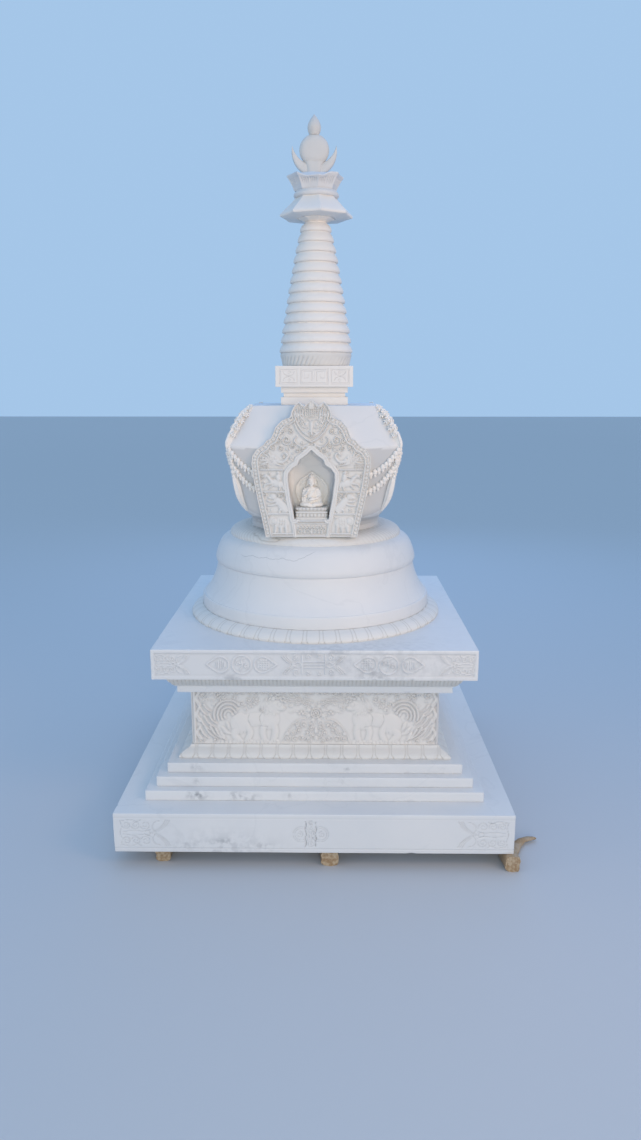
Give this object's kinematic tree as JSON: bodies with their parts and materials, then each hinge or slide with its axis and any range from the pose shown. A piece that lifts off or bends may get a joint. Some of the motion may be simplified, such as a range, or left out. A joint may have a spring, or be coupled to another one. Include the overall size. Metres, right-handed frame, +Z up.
{
  "type": "white marble stupa",
  "caption": "Carved white marble stupa on timber bearers: square stepped base, round drum, square-shouldered vase with a niche, ringed spire, umbrella, moon and sun.",
  "frame": {"origin": "on the ground under the middle of the base slab, on the underside of the middle bearer", "axes": "+Z up, -Y towards the front with the niche, +X to the right seen from the front"},
  "size_m": [1.418, 1.318, 2.4354],
  "materials": {
    "honed_marble": "honed white marble, dusty and unpolished, faint grey veins",
    "carved_marble": "carved white marble, rough from the chisel, a little warmer in its hollows",
    "bearer_timber": "rough sawn, weathered timber"
  },
  "bodies": {
    "root": {"bearer_left": "bearer_timber", "bearer_middle": "bearer_timber", "bearer_right": "bearer_timber", "base_slab": "honed_marble", "step_lower": "honed_marble", "step_middle": "honed_marble", "step_upper": "honed_marble", "lower_lotus_course": "carved_marble", "carved_die": "carved_marble", "fillet_course": "honed_marble", "upper_lotus_course": "carved_marble", "cornice_slab": "honed_marble", "drum_lotus_ring": "carved_marble", "drum_foot_band": "honed_marble", "drum_bell": "honed_marble", "drum_cap": "honed_marble", "vase_lotus_ring": "carved_marble", "vase_body": "honed_marble", "niche_frame": "carved_marble", "niche_throne": "carved_marble", "seated_figure": "carved_marble", "figure_halo": "carved_marble", "corner_garland_front_left": "carved_marble", "corner_garland_front_right": "carved_marble", "corner_garland_back_left": "carved_marble", "corner_garland_back_right": "carved_marble", "harmika_foot": "honed_marble", "harmika_neck": "honed_marble", "harmika_step": "honed_marble", "harmika_block": "honed_marble", "spire_lotus": "honed_marble", "spire_ring_01": "honed_marble", "spire_ring_02": "honed_marble", "spire_ring_03": "honed_marble", "spire_ring_04": "honed_marble", "spire_ring_05": "honed_marble", "spire_ring_06": "honed_marble", "spire_ring_07": "honed_marble", "spire_ring_08": "honed_marble", "spire_ring_09": "honed_marble", "spire_ring_10": "honed_marble", "spire_ring_11": "honed_marble", "spire_ring_12": "honed_marble", "spire_ring_13": "honed_marble", "umbrella": "honed_marble", "umbrella_bead": "honed_marble", "crown": "honed_marble", "moon": "honed_marble", "sun": "honed_marble", "flame": "honed_marble"}
  },
  "joints": []
}
